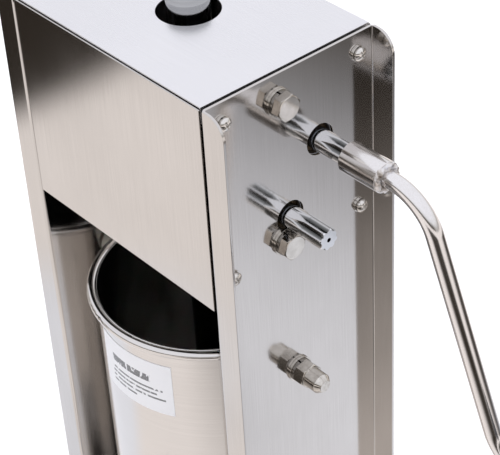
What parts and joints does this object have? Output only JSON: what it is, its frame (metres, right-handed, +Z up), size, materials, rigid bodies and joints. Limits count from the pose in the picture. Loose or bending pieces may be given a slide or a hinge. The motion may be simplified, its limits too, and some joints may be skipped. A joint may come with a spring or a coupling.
{
  "type": "sausage stuffer",
  "caption": "Upright hand-cranked sausage stuffer: steel column frame, two-position gearbox, rack-driven piston, lift-out meat cylinder with front nozzle",
  "frame": {"origin": "on the floor plane, under the common axis of the meat cylinder and the rack", "axes": "+Z up along the rack, -Y to the front where the nozzle points, +X towards the crank side"},
  "size_m": [0.5266, 0.3835, 0.654],
  "materials": {
    "sheet_steel": "brushed",
    "cover_steel": "fine brushed",
    "polished_steel": "polished",
    "rack_steel": "ground and polished",
    "plated_steel": "bright plated",
    "fastener_steel": "bright",
    "plate_steel": "machined",
    "gear_steel": "machined and greased",
    "bronze": "machined",
    "nylon": "matt",
    "piston_plastic": "satin",
    "seal_silicone": "matt",
    "foot_rubber": "matt",
    "label_film": "satin film",
    "crank_steel": "satin",
    "grip_plastic": "satin"
  },
  "bodies": {
    "frame": {"base_tray": "sheet_steel", "foot_brackets": "sheet_steel", "rubber_feet": "foot_rubber", "foot_screws": "fastener_steel", "foot_nuts": "fastener_steel", "right_side_panel": "sheet_steel", "left_side_panel": "sheet_steel", "panel_foot_bolts": "fastener_steel", "panel_foot_washers": "fastener_steel", "panel_foot_nuts": "fastener_steel", "top_cover": "cover_steel", "front_cover": "sheet_steel", "rear_cover": "sheet_steel", "cover_nuts": "fastener_steel", "gearbox_floor": "sheet_steel", "right_bearing_plate": "plate_steel", "left_bearing_plate": "plate_steel", "inner_bearing_plate": "plate_steel", "bearing_pillars": "fastener_steel", "shaft_bushes": "bronze", "rack_guide": "nylon", "rack_backing": "nylon", "backing_bracket": "plate_steel", "cover_screws": "fastener_steel", "cover_screw_washers": "fastener_steel", "cover_screw_spring_washers": "fastener_steel", "hex_bolts": "fastener_steel", "hex_bolt_washers": "fastener_steel", "hex_bolt_spring_washers": "fastener_steel", "guide_pads": "nylon", "guide_studs": "fastener_steel", "cap_nuts": "fastener_steel", "cap_nut_washers": "fastener_steel", "cap_nut_spring_washers": "fastener_steel", "meat_cylinder": "polished_steel", "cylinder_label": "label_film", "locating_pins": "fastener_steel", "nozzle_gasket": "seal_silicone", "stuffing_nozzle": "polished_steel"},
    "piston_rack": {"rack_rod": "rack_steel", "piston_plate": "piston_plastic", "piston_seal": "seal_silicone", "piston_nut": "fastener_steel", "valve_seat": "bronze"},
    "air_valve": {"valve_pin": "fastener_steel"},
    "upper_drive": {"upper_shaft": "plated_steel", "large_gear": "gear_steel", "rack_pinion": "gear_steel", "shaft_collars": "gear_steel"},
    "lower_drive": {"lower_shaft": "plated_steel", "small_pinion": "gear_steel", "lower_shaft_collar": "gear_steel"},
    "crank": {"crank_socket": "crank_steel", "crank_arm": "crank_steel", "crank_weld": "crank_steel", "grip_stop": "fastener_steel", "grip_end_nut": "fastener_steel"},
    "grip": {"crank_grip": "grip_plastic"},
    "ring_nut": {"nozzle_ring_nut": "polished_steel"}
  },
  "joints": [
    {"name": "piston_travel", "type": "slide", "parent": "frame", "child": "piston_rack", "axis": [0, 0, 1], "range_m": [0, 0.375]},
    {"name": "upper_shaft_turn", "type": "hinge", "parent": "frame", "child": "upper_drive", "pos_m": [0, 0.0225, 0.576], "axis": [1, 0, 0], "range_deg": [-1791, 0]},
    {"name": "lower_shaft_turn", "type": "hinge", "parent": "frame", "child": "lower_drive", "pos_m": [0, -0.00566, 0.52876], "axis": [1, 0, 0], "range_deg": [0, 5373]},
    {"name": "crank_pull_off", "type": "slide", "parent": "upper_drive", "child": "crank", "axis": [1, 0, 0], "range_m": [0, 0.03]},
    {"name": "grip_spin", "type": "hinge", "parent": "crank", "child": "grip", "pos_m": [0.3, 0.04438, 0.37462], "axis": [1, 0, 0], "continuous": true},
    {"name": "ring_nut_turn", "type": "hinge", "parent": "frame", "child": "ring_nut", "pos_m": [0, -0.12, 0.096], "axis": [0, -1, 0], "continuous": true},
    {"name": "air_valve_lift", "type": "slide", "parent": "piston_rack", "child": "air_valve", "axis": [0, 0, 1], "range_m": [0, 0.004]}
  ],
  "couplings": [
    {"joint": "upper_shaft_turn", "follows": "piston_travel", "rad_per_m": -83.333},
    {"joint": "lower_shaft_turn", "follows": "piston_travel", "rad_per_m": 250}
  ]
}
